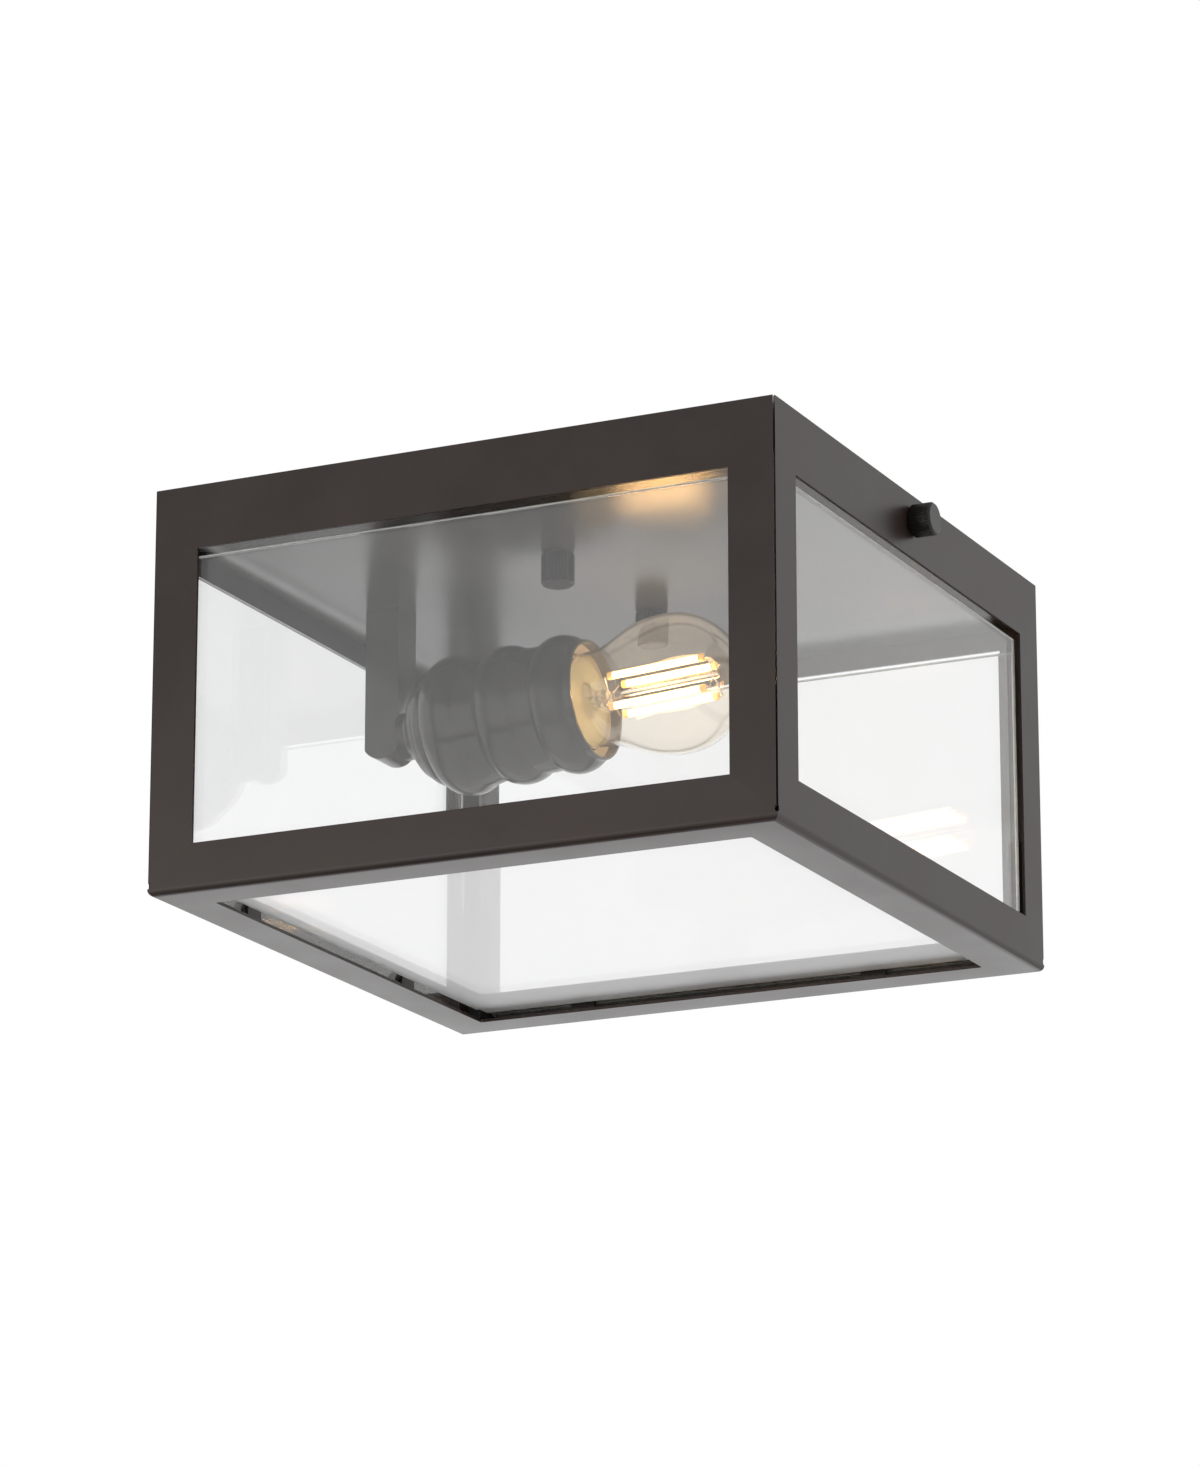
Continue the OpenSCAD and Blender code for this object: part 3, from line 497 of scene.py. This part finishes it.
def make_lamps():
    soft_lamp("front_low_lamp", place=(0.2, -1.3, -0.75), target=(0, -0.1, -0.11), size=0.7, power=4.0,
              colour=(1.0, 0.97, 0.94))
    middle = (FILAMENT_START + FILAMENT_END) / 2
    glow_lamp("bulb_glow", place=LAMP @ Vector((0, 0, middle * MM)), radius=12 * MM, power=0.3,
              colour=(1.0, 0.78, 0.48))
    dark_card()
    gloss_card("front_card", place=(-0.42, -0.66, -0.15), target=(-0.42, 0, -0.15), width=0.7, height=0.34,
               power=1.35, colour=(1.0, 0.93, 0.88))
    gloss_card("back_card", place=(-1.0, 2.1, -0.8), target=(0, 0, -0.1), width=2.6, height=1.0, power=6.4,
               colour=(1.0, 1.0, 1.0))


# The cage and its panes

def make_cage():
    piece("folded_cage", copy_of("cage_frame"), ["cage_frame"], bevel=0.25 * MM)


def make_pan():
    piece("folded_pan", copy_of("ceiling_pan"), ["ceiling_pan"], "pan_bronze", bevel=0.25 * MM)


def make_panes():
    """Each pane is clear on its two broad faces and ground on its edges."""
    for side in ("front", "back", "left", "right", "bottom"):
        look = "bottom_glass" if side == "bottom" else "clear_glass"
        made = piece(f"{side}_pane", copy_of(f"glass_{side}"), [f"glass_{side}"], look, bevel=0.3 * MM,
                     steps=1)
        made.data.materials.append(FINISHES["ground_edge"])
        low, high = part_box(f"glass_{side}")
        thin = min(range(3), key=lambda part: high[part] - low[part])
        for face in made.data.polygons:
            face.material_index = int(abs(face.normal[thin]) < 0.5)


# The lamp

def cup_outline():
    points = [(5.15, -0.6), (8.3, -0.6), (8.7, -0.2), (8.7, 2.9), (9.2, 3.2)]
    points += arc(points[-1], (13.5, 7.2), -0.6, 8) + [(14.1, 7.3)]
    points += arc(points[-1], (18.6, 11.6), 0.7, 8) + [(19.2, 11.7)]
    points += arc(points[-1], (21.2, 15.8), 0.4, 6) + [(21.9, 16.2)]
    points += arc(points[-1], (23.8, 30.9), 3.1, 24)
    points += [(22.55, 38.3), (22.7, 38.6)]
    points += arc(points[-1], (23.2, 53.7), 2.7, 24)
    points += [(23.15, 54.1), (23.15, 61.5)]
    points += arc(points[-1], (22.6, 75.0), 2.75, 24)
    points += [(22.3, 75.3), (22.3, 77.6), (22.1, 77.9), (21.3, 77.9), (21.1, 77.7)]
    return points


def make_cup():
    """The cup with its beads, and the socket's pale flat ring just inside its mouth."""
    outside = cup_outline()
    inside = [(21.1, 75.5), (22.0, 73.0), (23.2, 68.6), (22.0, 62.5), (21.9, 54.5), (23.2, 46.7),
              (21.4, 38.4), (22.4, 31.0), (23.0, 25.0), (20.6, 17.0), (16.1, 11.2), (13.5, 9.0), (5.15, 9.0)]
    shape = turned(outside + inside, 144, closed=True)
    piece("beaded_cup", moved(shape, LAMP), ["socket_cup"], "lightened_arm_bronze", sharp=28.0)
    ring = turned([(17.9, 72.9), (21.9, 72.9), (21.9, 73.7), (17.9, 73.7)], 128, closed=True)
    piece("mouth_ring", moved(ring, LAMP), ["socket_body"], "mouth_ring", bevel=0.15 * MM, stands_for=False)


def make_arm():
    piece("square_arm", copy_of("lamp_arm"), ["lamp_arm"], "lightened_arm_bronze", bevel=0.4 * MM, steps=3)


def bulb_curve(inset):
    """The glass's outline from its lower edge to its end, drawn in by inset."""
    neck, globe, centre = 17.6 - inset, 25.8 - inset, 110.0
    handles = [(neck, 79.0), (neck, 89.3), (globe, 94.5), (globe, centre)]
    points = [(neck, 72.0)]
    steps = 28
    for step in range(steps + 1):
        t = step / steps
        v = 1 - t
        weights = (v ** 3, 3 * v * v * t, 3 * v * t * t, t ** 3)
        points.append(tuple(sum(w * h[part] for w, h in zip(weights, handles)) for part in (0, 1)))
    for step in range(1, steps + 1):
        turn = math.pi / 2 * step / steps
        points.append((globe * math.cos(turn), centre + globe * math.sin(turn)))
    return points


def make_bulb():
    outline = bulb_curve(0.0) + list(reversed(bulb_curve(0.8)))
    piece("bulb_globe", moved(turned(outline, 128, closed=True), LAMP), ["bulb_glass"], sharp=40.0)


def make_stem():
    """The flared glass stem with its pinched press and the clear rod."""
    outline = [(0, DISC_PLACE), (7.0, DISC_PLACE), (6.6, 75.8), (4.7, 76.8), (3.7, 78.2), (3.1, 79.6),
               (3.3, 80.6), (3.4, 81.6), (2.5, 82.4), (2.7, 83.2), (2.0, 84.0), (1.3, 84.8), (1.2, 86.0),
               (1.2, 126.0), (1.0, 126.7), (0.5, 127.0), (0, 127.0)]
    shape = turned(outline, 64)
    piece("glass_stem", moved(shape, LAMP), ["bulb_stem"], "stem_glass", sharp=40.0)


def wire(shape, start, end, radius):
    """A straight round wire between two places on the lamp axis's own frame, in millimetres."""
    start, end = Vector(start), Vector(end)
    along = end - start
    place = Matrix.Translation((start + end) / 2 * MM) @ along.to_track_quat("Z", "Y").to_matrix().to_4x4()
    bmesh.ops.create_cone(shape, cap_ends=True, segments=16, radius1=radius * MM, radius2=radius * MM,
                          depth=along.length * MM, matrix=LAMP @ place)


def rods(radius, starts, length):
    """Round rods along the lamp axis at the four filaments, from each start."""
    shape = bmesh.new()
    for start in starts:
        for across, along in FILAMENT_CORNERS:
            wire(shape, (across, along, start), (across, along, start + length), radius)
    return shape


def make_wires():
    """Posts on the filaments' ends, the wires between them and the two leads that rise from the collar."""
    shape = bmesh.new()
    # A filament's end, the end of the post on it, and where the wires from the posts meet
    ends = ((FILAMENT_START, 84.6, 83.6), (FILAMENT_END, 125.4, 125.0))
    for across, along in FILAMENT_CORNERS:
        for near, far, hub in ends:
            wire(shape, (across, along, near), (across, along, far), POST_RADIUS)
            wire(shape, (across, along, far), (across * HUB_SHARE, along * HUB_SHARE, hub), WIRE_RADIUS)
    for side in (-1, 1):
        bend = (side * 2.2, 0, 82.0)
        wire(shape, (side * 2.6, 0, DISC_PLACE), bend, WIRE_RADIUS)
        wire(shape, bend, (side * FILAMENT_HALF, side * FILAMENT_HALF, 84.8), WIRE_RADIUS)
    piece("support_wires", shape, ["bulb_wires"])


def make_filaments():
    rod_start, last_cap = FILAMENT_START + CAP_LENGTH, FILAMENT_END - CAP_LENGTH
    piece("filament_rods", rods(ROD_RADIUS, (rod_start,), last_cap - rod_start), ["bulb_filaments"])
    caps = rods(CAP_RADIUS, (FILAMENT_START, last_cap), CAP_LENGTH)
    piece("filament_caps", caps, ["bulb_filaments"], "amber_cap", bevel=0.3 * MM)


# The knurled screws and nuts

def knurled(levels, ridges=48):
    """A knob on Z, drawn through levels of (radius, height, groove), closed flat at both ends."""
    shape = bmesh.new()
    radius, height, _ = levels[0]
    bmesh.ops.create_circle(shape, segments=2 * ridges, radius=radius * MM,
                            matrix=Matrix.Translation((0, 0, height * MM)))
    edges = list(shape.edges)
    bmesh.ops.edgeloop_fill(shape, edges=edges)
    for radius, height, groove in levels[1:]:
        made = bmesh.ops.extrude_edge_only(shape, edges=edges)["geom"]
        corners = {part for part in made if isinstance(part, bmesh.types.BMVert)}
        edges = [part for part in made if isinstance(part, bmesh.types.BMEdge)
                 and corners.issuperset(part.verts)]
        for corner in corners:
            turn = math.atan2(corner.co.y, corner.co.x)
            reach = radius - groove * (round(turn * ridges / math.pi) % 2)
            corner.co = Vector((reach * math.cos(turn), reach * math.sin(turn), height)) * MM
    bmesh.ops.edgeloop_fill(shape, edges=edges)
    bmesh.ops.recalc_face_normals(shape, faces=shape.faces)
    return shape


def knob_levels(length, bore, depth):
    """Levels of a chamfered knob, from the floor of its bore in the end at nought to its far face."""
    return [(bore, depth, 0), (bore, 0.2, 0), (bore + 0.2, 0, 0), (5.1, 0, 0), (5.35, 0.1, 0),
            (5.95, 0.75, 0.3), (6.0, 0.9, 0.3), (6.0, length - 0.9, 0.3), (5.95, length - 0.75, 0.3),
            (5.35, length - 0.1, 0), (5.1, length, 0), (1.2, length, 0)]


def make_screws():
    for node, side in (("cap_nut_front", -1), ("cap_nut_back", 1)):
        stand = Matrix.Translation(Vector((0, NUT_REACH * side, NUT_TOP)) * MM)
        turn = Matrix.Rotation(math.pi, 4, "X")
        knob = moved(knurled(knob_levels(NUT_LENGTH, bore=2.15, depth=9.8)), stand @ turn)
        piece(f"{node}_knob", knob, [node], sharp=20.0)
    for node, side in (("thumbscrew_right_head", 1), ("thumbscrew_left_head", -1)):
        stand = Matrix.Translation(Vector((THUMBSCREW_REACH * side, 0, THUMBSCREW_PLACE)) * MM)
        turn = Matrix.Rotation(side * math.pi / 2, 4, "Y")
        knob = moved(knurled(knob_levels(THUMBSCREW_LENGTH, bore=2.05, depth=6.5)), stand @ turn)
        piece(f"{node}_knob", knob, [node], sharp=20.0)


# Everything else keeps its own shape, with eased edges

def make_small_parts():
    done = {node for node, thing in frame["nodes"].items() if thing.hide_render}
    for node in sorted(set(frame["nodes"]) - done):
        piece(f"{node}_dressed", copy_of(node), [node], bevel=0.15 * MM)


make_camera()
make_surroundings()
make_lamps()
make_cage()
make_pan()
make_panes()
make_cup()
make_arm()
make_bulb()
make_stem()
make_wires()
make_filaments()
make_screws()
make_small_parts()

bpy.context.view_layer.update()
SCENE.view_settings.view_transform = "Standard"
